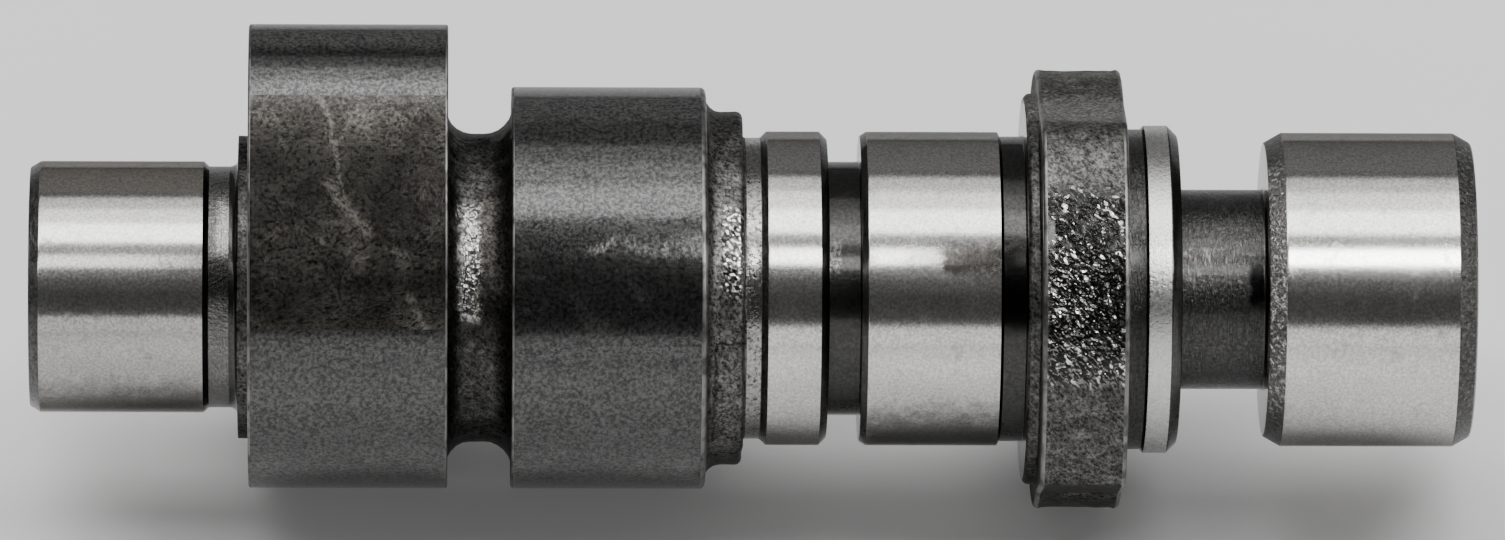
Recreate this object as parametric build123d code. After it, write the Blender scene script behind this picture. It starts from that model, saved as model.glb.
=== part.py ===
"""Camshaft with two cams and a lugged flange, turned and ground from one steel forging.

The shaft's axis lies along X and +Z is up. The origin is on the axis, halfway along the small
journal. Angles about the axis are measured from +Y towards +Z. All lengths are in millimetres
and all angles in degrees. Along the axis, from the left end to the right end, the forging
carries the small journal, a thin collar, cam 1, a bare stretch of core, cam 2, a heavy collar,
the grooved middle journal, the flange with its lug, a ring, a deep groove and the end journal.
"""

import os
from math import acos, cos, degrees, radians, sin, tan

from build123d import *

# How the shaft lies: the direction that the nose of cam 1 points in when it rests on a table
cam_1_angle = 77.0

# Small journal, at the left end
small_journal_radius = 10.0
small_journal_length = 14.25
small_journal_lead = 0.85
small_journal_lead_depth = 0.5
small_journal_edge = 0.45
small_undercut_depth = 0.4
small_undercut_length = 2.3
small_undercut_blend = 0.7

# Thin collar that backs cam 1
thin_collar_radius = 12.15
thin_collar_length = 0.85

# Both cams have the same form: base circle, two flank arcs and a nose
cam_base_radius = 16.0
cam_lift = 6.2
cam_nose_radius = 9.0
cam_flank_radius = 32.0
cam_spread = 105.0
cam_1_length = 15.8
cam_2_length = 15.45
cam_edge_break = 0.2
cam_2_forged_edge = 0.45

# Bare core between the cams, as forged
core_below_base = 3.65
core_length = 5.05
core_left_blend = 1.8
core_right_blend = 2.2

# Heavy collar behind cam 2, as forged
heavy_collar_below_base = 1.85
heavy_collar_length = 3.0
heavy_collar_blend = 1.2
heavy_collar_edge = 0.6

# Turned step between the heavy collar and the middle journal
step_below_journal = 0.5
step_length = 1.85
step_lead = 0.5

# Middle journal, split in two by an oil groove
middle_journal_radius = 12.5
middle_journal_left_length = 4.8
middle_journal_left_chamfer = 0.6
oil_groove_depth = 2.4
oil_groove_length = 2.6
middle_journal_right_length = 11.2
middle_journal_right_lead = 0.55
middle_journal_right_lead_depth = 0.35
middle_journal_edge = 0.2

# Undercut and hub to the left of the flange
flange_undercut_depth = 0.35
flange_undercut_length = 1.85
hub_below_disc = 1.85
hub_length = 0.9
hub_edge = 0.45

# Flange: a disc with a lug that covers part of its circumference, as forged
flange_radius = 17.5
flange_length = 6.8
lug_height = 3.9
lug_angle_from_cam_1 = 69.0
lug_half_angle = 41.8
lug_foot_half_angle = 63.2
lug_full_corner = 4.5
lug_sharp_corner = 0.9
lug_foot_blend = 1.5
flange_edge = 0.35

# Neck and thrust ring to the right of the flange
neck_below_ring = 0.3
neck_length = 1.9
neck_lead = 0.2
ring_radius = 13.05
ring_length = 2.65
ring_chamfer = 0.78

# Deep thrust groove
thrust_groove_depth = 4.55
thrust_groove_length = 6.95
thrust_groove_corner = 0.3

# End journal, at the right end
end_journal_radius = 12.5
end_journal_length = 16.5
end_journal_lead = 1.4
end_journal_lead_depth = 0.8

# What a blend leaves of the wall that it runs up
blend_margin = 0.04

# Centre hole in each end face, in which the shaft was turned and ground
centre_mouth_radius = 2.65
centre_pilot_radius = 1.25
centre_pilot_length = 2.2
centre_cone_half_angle = 30.0
centre_tip_half_angle = 59.0

# Stations along the axis
left_end = -small_journal_length / 2
small_undercut_start = left_end + small_journal_length
thin_collar_start = small_undercut_start + small_undercut_length
cam_1_start = thin_collar_start + thin_collar_length
core_start = cam_1_start + cam_1_length
cam_2_start = core_start + core_length
heavy_collar_start = cam_2_start + cam_2_length
step_start = heavy_collar_start + heavy_collar_length
middle_journal_start = step_start + step_length
oil_groove_start = middle_journal_start + middle_journal_left_length
middle_journal_resume = oil_groove_start + oil_groove_length
flange_undercut_start = middle_journal_resume + middle_journal_right_length
hub_start = flange_undercut_start + flange_undercut_length
flange_start = hub_start + hub_length
neck_start = flange_start + flange_length
ring_start = neck_start + neck_length
thrust_groove_start = ring_start + ring_length
end_journal_start = thrust_groove_start + thrust_groove_length
right_end = end_journal_start + end_journal_length

# Radii that follow from the surfaces beside them
small_undercut_radius = small_journal_radius - small_undercut_depth
core_radius = cam_base_radius - core_below_base
heavy_collar_radius = cam_base_radius - heavy_collar_below_base
step_radius = middle_journal_radius - step_below_journal
oil_groove_radius = middle_journal_radius - oil_groove_depth
flange_undercut_radius = middle_journal_radius - flange_undercut_depth
hub_radius = flange_radius - hub_below_disc
lug_radius = flange_radius + lug_height
neck_radius = ring_radius - neck_below_ring
thrust_groove_radius = end_journal_radius - thrust_groove_depth

# Blends stay inside the walls that they join
core_blend_room = min(core_length / 2, core_below_base - cam_edge_break) - blend_margin
core_left_blend_fit = min(core_left_blend, core_blend_room)
core_right_blend_fit = min(core_right_blend, core_blend_room)
collar_blend_room = heavy_collar_below_base - cam_2_forged_edge - blend_margin
heavy_collar_blend_fit = min(heavy_collar_blend, collar_blend_room)
heavy_collar_edge_room = heavy_collar_radius - step_radius - blend_margin
heavy_collar_edge_fit = min(heavy_collar_edge, heavy_collar_edge_room)
hub_edge_room = hub_radius - flange_undercut_radius - blend_margin
hub_edge_fit = min(hub_edge, hub_edge_room)
cam_web_radius = cam_base_radius - max(cam_edge_break, cam_2_forged_edge) - blend_margin / 2


def polar(radius, angle):
    """The point at a radius and an angle about the axis, in the plane across the shaft."""
    return Vector(radius * cos(radians(angle)), radius * sin(radians(angle)))


def centre_hole(end_x, inward):
    """Corners of a centre hole's half section, from the drill tip on the axis to the mouth."""
    cone_length = (centre_mouth_radius - centre_pilot_radius) / tan(radians(centre_cone_half_angle))
    pilot_end = cone_length + centre_pilot_length
    tip = pilot_end + centre_pilot_radius / tan(radians(centre_tip_half_angle))
    return [
        (end_x + inward * tip, 0, 0),
        (end_x + inward * pilot_end, centre_pilot_radius, 0),
        (end_x + inward * cone_length, centre_pilot_radius, 0),
        (end_x, centre_mouth_radius, 0),
    ]


def turned_body():
    """The round parts of the shaft: one half section, turned about the axis.

    Each corner is a place along the axis, a radius and the rounding of that corner.
    """
    small_end_radius = small_journal_radius - small_journal_lead_depth
    end_face_radius = end_journal_radius - end_journal_lead_depth
    groove_lip_radius = middle_journal_radius - middle_journal_right_lead_depth
    corners = [
        *centre_hole(left_end, 1),
        (left_end, small_end_radius, 0),
        (left_end + small_journal_lead, small_journal_radius, 0),
        (small_undercut_start - small_journal_edge, small_journal_radius, 0),
        (small_undercut_start, small_undercut_radius, 0),
        (thin_collar_start, small_undercut_radius, small_undercut_blend),
        (thin_collar_start, thin_collar_radius, 0),
        (cam_1_start, thin_collar_radius, 0),
        (cam_1_start, cam_web_radius, 0),
        (core_start, cam_web_radius, 0),
        (core_start, core_radius, core_left_blend_fit),
        (cam_2_start, core_radius, core_right_blend_fit),
        (cam_2_start, cam_web_radius, 0),
        (heavy_collar_start, cam_web_radius, 0),
        (heavy_collar_start, heavy_collar_radius, heavy_collar_blend_fit),
        (step_start, heavy_collar_radius, heavy_collar_edge_fit),
        (step_start, step_radius, 0),
        (middle_journal_start - step_lead, step_radius, 0),
        (middle_journal_start, middle_journal_radius, 0),
        (oil_groove_start - middle_journal_left_chamfer, middle_journal_radius, 0),
        (oil_groove_start, middle_journal_radius - middle_journal_left_chamfer, 0),
        (oil_groove_start, oil_groove_radius, 0),
        (middle_journal_resume, oil_groove_radius, 0),
        (middle_journal_resume, groove_lip_radius, 0),
        (middle_journal_resume + middle_journal_right_lead, middle_journal_radius, 0),
        (flange_undercut_start - middle_journal_edge, middle_journal_radius, 0),
        (flange_undercut_start, flange_undercut_radius, 0),
        (hub_start, flange_undercut_radius, 0),
        (hub_start, hub_radius, hub_edge_fit),
        (neck_start, hub_radius, 0),
        (neck_start, neck_radius, 0),
        (ring_start - neck_lead, neck_radius, 0),
        (ring_start, ring_radius, 0),
        (thrust_groove_start - ring_chamfer, ring_radius, 0),
        (thrust_groove_start, ring_radius - ring_chamfer, 0),
        (thrust_groove_start, thrust_groove_radius, thrust_groove_corner),
        (end_journal_start, thrust_groove_radius, thrust_groove_corner),
        (end_journal_start, end_face_radius, 0),
        (end_journal_start + end_journal_lead, end_journal_radius, 0),
        (right_end - end_journal_lead, end_journal_radius, 0),
        (right_end, end_face_radius, 0),
        *reversed(centre_hole(right_end, -1)),
    ]
    points = [(x, radius) for x, radius, rounding in corners]
    roundings = [rounding for x, radius, rounding in corners]
    half_section = make_face(FilletPolyline(*points, radius=roundings, close=True))
    return revolve(half_section, Axis.X)


def cam(start_x, length, nose_angle, left_edge, right_edge):
    """A cam: base circle, flank arcs tangent to it and to the nose, broken at both edges.

    A flank arc's centre is its radius less the base radius from the axis, and its radius less
    the nose radius from the centre of the nose, so both tangent points follow from the radii.
    """
    nose_distance = cam_base_radius + cam_lift - cam_nose_radius
    flank_to_axis = cam_flank_radius - cam_base_radius
    flank_to_nose = cam_flank_radius - cam_nose_radius
    flank_cosine = (flank_to_axis**2 + nose_distance**2 - flank_to_nose**2) / (
        2 * flank_to_axis * nose_distance
    )
    flank_angle = degrees(acos(flank_cosine))
    nose_centre = polar(nose_distance, 0)
    flanks = []
    for side in (1, -1):
        flank_centre = polar(flank_to_axis, side * flank_angle)
        on_base = flank_centre.normalized() * -cam_base_radius
        on_nose = nose_centre + (nose_centre - flank_centre).normalized() * cam_nose_radius
        chord_middle = (on_base + on_nose) / 2
        bulge = flank_centre + (chord_middle - flank_centre).normalized() * cam_flank_radius
        flanks.append((on_base, bulge, on_nose))
    (base_a, bulge_a, nose_a), (base_b, bulge_b, nose_b) = flanks
    outline = Wire(
        [
            ThreePointArc(base_a, bulge_a, nose_a),
            ThreePointArc(nose_a, polar(cam_base_radius + cam_lift, 0), nose_b),
            ThreePointArc(nose_b, bulge_b, base_b),
            ThreePointArc(base_b, polar(cam_base_radius, 180), base_a),
        ]
    )
    section = Plane.YZ.offset(start_x) * Rot(0, 0, nose_angle) * make_face(outline)
    blank = extrude(section, length)
    left_face = blank.faces().sort_by(Axis.X)[0]
    blank = chamfer(left_face.edges(), left_edge)
    right_face = blank.faces().sort_by(Axis.X)[-1]
    return fillet(right_face.edges(), right_edge)


def flange():
    """The flange's disc and lug: an outline of two arcs and two straight flanks, rounded."""
    lug_angle = cam_1_angle + lug_angle_from_cam_1
    full_foot = polar(flange_radius, lug_angle - lug_foot_half_angle)
    full_corner = polar(lug_radius, lug_angle - lug_half_angle)
    sharp_corner = polar(lug_radius, lug_angle + lug_half_angle)
    sharp_foot = polar(flange_radius, lug_angle + lug_foot_half_angle)
    outline = Wire(
        [
            Line(full_foot, full_corner),
            ThreePointArc(full_corner, polar(lug_radius, lug_angle), sharp_corner),
            Line(sharp_corner, sharp_foot),
            ThreePointArc(sharp_foot, polar(flange_radius, lug_angle + 180), full_foot),
        ]
    )
    section = make_face(outline)
    for corner, rounding in (
        (full_foot, lug_foot_blend),
        (full_corner, lug_full_corner),
        (sharp_corner, lug_sharp_corner),
        (sharp_foot, lug_foot_blend),
    ):
        nearest = section.vertices().sort_by_distance(corner)[0]
        section = fillet(nearest, rounding)
    blank = extrude(Plane.YZ.offset(flange_start) * section, flange_length)
    end_faces = blank.faces().filter_by(Axis.X)
    return fillet(end_faces.edges(), flange_edge)


def camshaft():
    """The whole forging as one solid."""
    body = turned_body()
    body += cam(cam_1_start, cam_1_length, cam_1_angle, cam_edge_break, cam_edge_break)
    cam_2_angle = cam_1_angle - cam_spread
    body += cam(cam_2_start, cam_2_length, cam_2_angle, cam_edge_break, cam_2_forged_edge)
    body += flange()
    return body


os.makedirs("parts", exist_ok=True)
export_step(camshaft(), "parts/camshaft.step")
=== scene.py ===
"""Camshaft: the ground, turned, blackened and as-forged surfaces of one steel forging.

The surface is one closed grid. Its profile is walked from the left centre hole to the right one,
and each station of the profile is carried round the axis along a circle, a cam's outline or the
flange's outline. Profile sizes are in millimetres and are turned into metres when the mesh is made.
"""

from functools import partialmethod
from math import acos, atan2, cos, degrees, hypot, pi, radians, sin, tan

import bpy
import numpy as np
from mathutils import Matrix, Vector


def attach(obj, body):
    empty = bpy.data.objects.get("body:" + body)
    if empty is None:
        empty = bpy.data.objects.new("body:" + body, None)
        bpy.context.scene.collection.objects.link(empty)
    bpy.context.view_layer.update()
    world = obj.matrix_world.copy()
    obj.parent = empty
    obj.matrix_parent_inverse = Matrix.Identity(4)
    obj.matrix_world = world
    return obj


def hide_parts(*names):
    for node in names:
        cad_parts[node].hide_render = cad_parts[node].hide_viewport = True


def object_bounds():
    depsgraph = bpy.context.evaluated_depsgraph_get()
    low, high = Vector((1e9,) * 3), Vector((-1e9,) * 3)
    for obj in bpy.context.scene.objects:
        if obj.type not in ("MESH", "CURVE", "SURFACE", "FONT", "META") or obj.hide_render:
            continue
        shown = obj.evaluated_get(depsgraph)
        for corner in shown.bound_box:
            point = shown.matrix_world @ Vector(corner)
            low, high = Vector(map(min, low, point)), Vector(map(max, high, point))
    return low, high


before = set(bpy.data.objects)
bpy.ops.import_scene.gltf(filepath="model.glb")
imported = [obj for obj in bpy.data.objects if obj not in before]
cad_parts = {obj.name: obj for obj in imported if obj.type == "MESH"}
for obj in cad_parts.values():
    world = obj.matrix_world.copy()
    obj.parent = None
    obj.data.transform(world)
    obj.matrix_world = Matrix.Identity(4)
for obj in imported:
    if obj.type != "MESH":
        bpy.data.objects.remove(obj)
cad_low, cad_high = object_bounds()

MM = 0.001
MICRON = 0.000001
NODE = "camshaft"

# Viewing direction over the front horizon, in degrees
CAMERA_ELEVATION = 39

# Directions about the axis, in degrees from +Y towards +Z
CAM_1_ANGLE = 77
CAM_SPREAD = 105
LUG_FROM_CAM_1 = 69

# Small journal
SMALL_RADIUS = 10.0
SMALL_LEAD = 0.85
SMALL_LEAD_DEPTH = 0.5
SMALL_FACE_EDGE = 0.12
SMALL_LEAD_EDGE = 0.25
SMALL_WALL = 12.95
SMALL_EDGE = 0.45
SMALL_UNDERCUT_DEPTH = 0.4
SMALL_UNDERCUT = 2.3
SMALL_UNDERCUT_BLEND = 0.7
THIN_COLLAR_RADIUS = 12.15
THIN_COLLAR = 0.85
THIN_COLLAR_EDGE = 0.1
THIN_COLLAR_CORNER = 0.08

# Cams
BASE_RADIUS = 16.0
LIFT = 6.2
NOSE_RADIUS = 9.0
FLANK_RADIUS = 32.0
CAM_1_WIDTH = 15.8
CAM_2_WIDTH = 15.45
CAM_EDGE = 0.2
CAM_2_FORGED_EDGE = 0.45
CORE_RADIUS = 12.35
CORE = 5.05
CORE_LEFT_BLEND = 1.8
CORE_RIGHT_BLEND = 2.2

# Heavy collar and step
HEAVY_RADIUS = 14.15
HEAVY = 3.0
HEAVY_BLEND = 1.2
HEAVY_EDGE = 0.6
STEP_RADIUS = 12.0
STEP = 1.35
STEP_CORNER = 0.15
STEP_LEAD = 0.5
STEP_LEAD_EDGE = 0.1

# Middle journal
MIDDLE_RADIUS = 12.5
MIDDLE_LEFT = 4.2
MIDDLE_CHAMFER = 0.6
OIL_GROOVE_DEPTH = 2.4
OIL_GROOVE = 2.6
OIL_GROOVE_CORNER = 0.12
MIDDLE_LEAD = 0.55
MIDDLE_LEAD_DEPTH = 0.35
MIDDLE_LEAD_EDGE = 0.2
MIDDLE_RIGHT = 10.45
MIDDLE_EDGE = 0.2
FLANGE_UNDERCUT_DEPTH = 0.35
FLANGE_UNDERCUT = 1.85
FLANGE_UNDERCUT_CORNER = 0.15

# Hub and flange
HUB_RADIUS = 15.65
HUB = 0.9
HUB_EDGE = 0.45
HUB_CORNER = 0.1
FLANGE_RADIUS = 17.5
FLANGE = 6.8
FLANGE_EDGE = 0.35
LUG_RADIUS = 21.4
LUG_HALF_ANGLE = 41.8
LUG_FOOT_HALF_ANGLE = 63.2
LUG_FULL_CORNER = 4.5
LUG_SHARP_CORNER = 0.9
LUG_FOOT_BLEND = 1.5

# Neck, thrust ring and thrust groove
RING_RADIUS = 13.05
NECK_DEPTH = 0.3
NECK = 1.7
NECK_CORNER = 0.15
NECK_LEAD = 0.2
RING = 1.87
RING_CHAMFER = 0.78
RING_EDGE = 0.2
GROOVE_RADIUS = 7.95
GROOVE = 6.95
GROOVE_CORNER = 0.3

# End journal
END_RADIUS = 12.5
END_LEAD = 1.4
END_LEAD_DEPTH = 0.8
END_WALL = 13.7
END_FACE_EDGE = 0.15
END_EDGE = 0.3

# Centre holes: half angles of the cone and of the drill's tip in degrees
CENTRE_HALF_ANGLE = 30
DRILL_HALF_ANGLE = 59
CENTRE_MOUTH = 2.65
CENTRE_PILOT = 1.25
CENTRE_PILOT_LENGTH = 2.2
CENTRE_CONE = CENTRE_MOUTH - CENTRE_PILOT
CENTRE_CONE_LENGTH = CENTRE_CONE / tan(radians(CENTRE_HALF_ANGLE))
CENTRE_TIP_LENGTH = CENTRE_PILOT / tan(radians(DRILL_HALF_ANGLE))
CENTRE_DEPTH = CENTRE_TIP_LENGTH + CENTRE_PILOT_LENGTH + CENTRE_CONE_LENGTH

# Grid: steps round the axis, and lengths of the steps along forged rounds, forged side walls and
# the mottled step
ROUND_STEPS = 440
FORGED_STEP = 0.36
WEB_STEP = 0.8
MOTTLED_STEP = 0.5

# Rounding of an edge that has no size of its own, how far the cams and the flange are drawn in, and
# a length that counts as none
BREAK = 0.05
SKIN = 0.01
NO_LENGTH = 1e-12

# Forging relief: cell size, seed and share of each layer of noise, and the depth of the whole
RELIEF_LAYERS = ((2.6, 1, 0.5), (1.3, 2, 0.35), (0.7, 3, 0.25))
RELIEF_SHIFT = 0.9
RELIEF_DEPTH = 0.1

# Odd numbers that mix a lattice place and a seed into a hash of 32 bits
MIX_X, MIX_Y, MIX_Z, MIX_SEED = 73856093, 19349663, 83492791, 2654435761
MIX_FIRST, MIX_SECOND = 2246822519, 3266489917
WORD = 0xFFFFFFFF
HALF_WORD = WORD / 2

# Finishes, in the order of the mesh's material slots
GROUND, TURNED, BLACK, FORGED, WORN, FLANK, SATIN, RING_FACE, MOTTLED, GROOVED, SPECKLED = range(11)


# ---- outlines round the axis


# The widest turn from a straight flank's own direction, short of where its ray never meets it
FLANK_REACH = 80


def turn_from(angle):
    """Signed turn from a direction to each step round the axis, between -180 and 180 degrees."""
    steps = np.arange(ROUND_STEPS) * 360 / ROUND_STEPS
    return (steps - angle + 180) % 360 - 180


def ray_to_circle(turn, distance, bearing, radius, far=True):
    """Distance from the axis, along a ray, to a circle: projection of the centre on the ray, plus
    or minus the half chord left by the centre's distance from the ray."""
    along = distance * np.cos(np.radians(turn - bearing))
    half_chord = np.sqrt(np.maximum(radius**2 - distance**2 + along**2, 0))
    return along + half_chord if far else along - half_chord


def cam_outline(nose_angle):
    """Radius of a cam at each step, and where its flanks are: a nose arc, a flank arc tangent to
    it and to the base circle, and the base circle, each over its own range of turn."""
    turn = np.abs(turn_from(nose_angle))
    nose_distance = BASE_RADIUS + LIFT - NOSE_RADIUS
    to_axis = FLANK_RADIUS - BASE_RADIUS
    to_nose = FLANK_RADIUS - NOSE_RADIUS
    cosine = (to_axis**2 + nose_distance**2 - to_nose**2) / (2 * to_axis * nose_distance)
    flank_bearing = -degrees(acos(cosine))
    flank_end = 180 + flank_bearing
    flank_x = to_axis * cos(radians(flank_bearing))
    flank_y = to_axis * sin(radians(flank_bearing))
    reach = NOSE_RADIUS / to_nose
    nose_end = degrees(atan2(-flank_y * reach, nose_distance + (nose_distance - flank_x) * reach))
    nose = ray_to_circle(turn, nose_distance, 0, NOSE_RADIUS)
    flank = ray_to_circle(turn, to_axis, flank_bearing, FLANK_RADIUS)
    radius = np.where(turn < nose_end, nose, np.where(turn < flank_end, flank, BASE_RADIUS))
    return radius, (turn >= nose_end) & (turn < flank_end)


def lug_side(turn, corner):
    """Radius of one side of the flange at each turn from the lug's middle: lug arc, rounded
    corner, straight flank, rounded foot and disc. A rounding's centre lies its own radius inside
    (or outside) both lines that it touches."""
    corner_x = LUG_RADIUS * cos(radians(LUG_HALF_ANGLE))
    corner_y = LUG_RADIUS * sin(radians(LUG_HALF_ANGLE))
    foot_x = FLANGE_RADIUS * cos(radians(LUG_FOOT_HALF_ANGLE))
    foot_y = FLANGE_RADIUS * sin(radians(LUG_FOOT_HALF_ANGLE))
    length = hypot(foot_x - corner_x, foot_y - corner_y)
    normal_x = (foot_y - corner_y) / length
    normal_y = -(foot_x - corner_x) / length
    bearing = degrees(atan2(normal_y, normal_x))
    offset = corner_x * normal_x + corner_y * normal_y
    inner = LUG_RADIUS - corner
    corner_centre = bearing - degrees(acos((offset - corner) / inner))
    outer = FLANGE_RADIUS + LUG_FOOT_BLEND
    foot_centre = bearing - degrees(acos((offset + LUG_FOOT_BLEND) / outer))

    def touch(distance, centre, step):
        """Direction of the point where a rounding touches the straight flank."""
        x = distance * cos(radians(centre)) + step * normal_x
        y = distance * sin(radians(centre)) + step * normal_y
        return degrees(atan2(y, x))

    flank_start = touch(inner, corner_centre, corner)
    flank_end = touch(outer, foot_centre, -LUG_FOOT_BLEND)
    if flank_end < flank_start:
        foot_centre = bearing + degrees(acos((offset + LUG_FOOT_BLEND) / outer))
        flank_end = touch(outer, foot_centre, -LUG_FOOT_BLEND)
    flank = offset / np.cos(np.radians(np.clip(turn - bearing, -FLANK_REACH, FLANK_REACH)))
    rounding = ray_to_circle(turn, inner, corner_centre, corner)
    foot = ray_to_circle(turn, outer, foot_centre, LUG_FOOT_BLEND, far=False)
    ends = (corner_centre, flank_start, flank_end, foot_centre)
    radii = (LUG_RADIUS, rounding, flank, foot)
    return np.select([turn < end for end in ends], radii, FLANGE_RADIUS)


def flange_outline(lug_angle):
    """Radius of the flange at each step: the full-cornered side before the lug's middle, the
    sharp-cornered side after it."""
    turn = turn_from(lug_angle)
    full = lug_side(-turn, LUG_FULL_CORNER)
    sharp = lug_side(turn, LUG_SHARP_CORNER)
    return np.where(turn < 0, full, sharp)


CAM_1, CAM_1_FLANKS = cam_outline(CAM_1_ANGLE)
CAM_2, CAM_2_FLANKS = cam_outline(CAM_1_ANGLE - CAM_SPREAD)
FLANGE_EDGE_LINE = flange_outline(CAM_1_ANGLE + LUG_FROM_CAM_1)
OUTLINES = np.stack([np.ones(ROUND_STEPS), CAM_1, CAM_2, FLANGE_EDGE_LINE])
CAM_1_OUTLINE, CAM_2_OUTLINE, FLANGE_OUTLINE = 1, 2, 3


def circle(radius):
    """Weights of the outlines for a circle."""
    return np.array([radius, 0, 0, 0], float)


def outline(number):
    """Weights of the outlines for one of them, drawn in by the skin."""
    weights = np.array([-SKIN, 0, 0, 0], float)
    weights[number] += 1
    return weights


# ---- profile along the axis


class Profile:
    """A walk along the shaft's half section. Each corner keeps its place, its outline weights, the
    radius of its rounding and the cuts in it, and each leg between corners keeps its finish and
    the length of its steps."""

    def __init__(self, x, weights):
        self.x = x
        self.weights = weights
        self.corners = [(x, weights, 0.0, 1)]
        self.legs = []

    def go(self, length, form, finish, edge=BREAK, cuts=1, step=None):
        """A leg to another place and form, which is a radius or the weights of the outlines, or
        None if it stays; edge and cuts round the corner at its end."""
        self.x += length
        if form is not None:
            self.weights = circle(form) if np.isscalar(form) else form
        self.corners.append((self.x, self.weights, edge, cuts))
        self.legs.append((finish, step))

    def direction(self, start, end):
        """Unit direction of a leg in the plane of place and radius, by mean radius."""
        means = OUTLINES.mean(axis=1)
        run = end[0] - start[0]
        rise = float((end[1] - start[1]) @ means)
        if abs(run) < NO_LENGTH:
            return 0.0, float(np.sign(rise))
        length = hypot(run, rise)
        return run / length, rise / length

    def rounded(self, number):
        """Stations of a corner: points of the arc that touches both of its legs. The arc's centre
        is back along the first leg by the radius times the tangent of half the turn, and one
        radius to the side; its arm then swings through the turn in equal cuts."""
        x, weights, edge, cuts = self.corners[number]
        if edge == 0.0 or number in (0, len(self.corners) - 1):
            return [(x, weights)]
        in_x, in_r = self.direction(self.corners[number - 1], self.corners[number])
        out_x, out_r = self.direction(self.corners[number], self.corners[number + 1])
        turn = atan2(in_x * out_r - in_r * out_x, in_x * out_x + in_r * out_r)
        reach = edge * tan(abs(turn) / 2)
        side = 1 if turn > 0 else -1
        centre_x = -in_x * reach - in_r * edge * side
        centre_r = -in_r * reach + in_x * edge * side
        stations = []
        for cut in range(cuts + 1):
            swing = turn * cut / cuts
            arm_x = in_r * edge * side
            arm_r = -in_x * edge * side
            dx = centre_x + arm_x * cos(swing) - arm_r * sin(swing)
            dr = centre_r + arm_x * sin(swing) + arm_r * cos(swing)
            stations.append((x + dx, weights + circle(dr)))
        return stations

    def stations(self):
        """All stations in order, with the finish of the strip after each one. A leg with a step
        is cut into equal parts of about that length."""
        places, weights, finishes = [], [], []
        for number in range(len(self.corners)):
            arc = self.rounded(number)
            if number > 0:
                finish, step = self.legs[number - 1]
                start_x, start_w = places[-1], weights[-1]
                run, rise = arc[0][0] - start_x, arc[0][1] - start_w
                length = max(abs(run), float(np.abs(rise @ OUTLINES).max()))
                parts = max(1, round(length / step)) if step else 1
                finishes.append(finish)
                for part in range(1, parts):
                    share = part / parts
                    places.append(start_x + run * share)
                    weights.append(start_w + rise * share)
                    finishes.append(finish)
            edge_finish = self.edge_finish(number)
            for x, weight in arc:
                places.append(x)
                weights.append(weight)
            finishes.extend([edge_finish] * (len(arc) - 1))
        return np.array(places), np.array(weights), np.array(finishes)

    def edge_finish(self, number):
        """A rounded corner is worn on the cams and the flange, forged beyond a forged leg, and
        otherwise has the finish of the leg after it."""
        if number in (0, len(self.corners) - 1):
            return GROUND
        before, after = self.legs[number - 1][0], self.legs[number][0]
        on_flange = self.corners[number][1][FLANGE_OUTLINE] > 0
        if BLACK in (before, after) or on_flange:
            return WORN
        return before if before == FORGED else after


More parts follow.
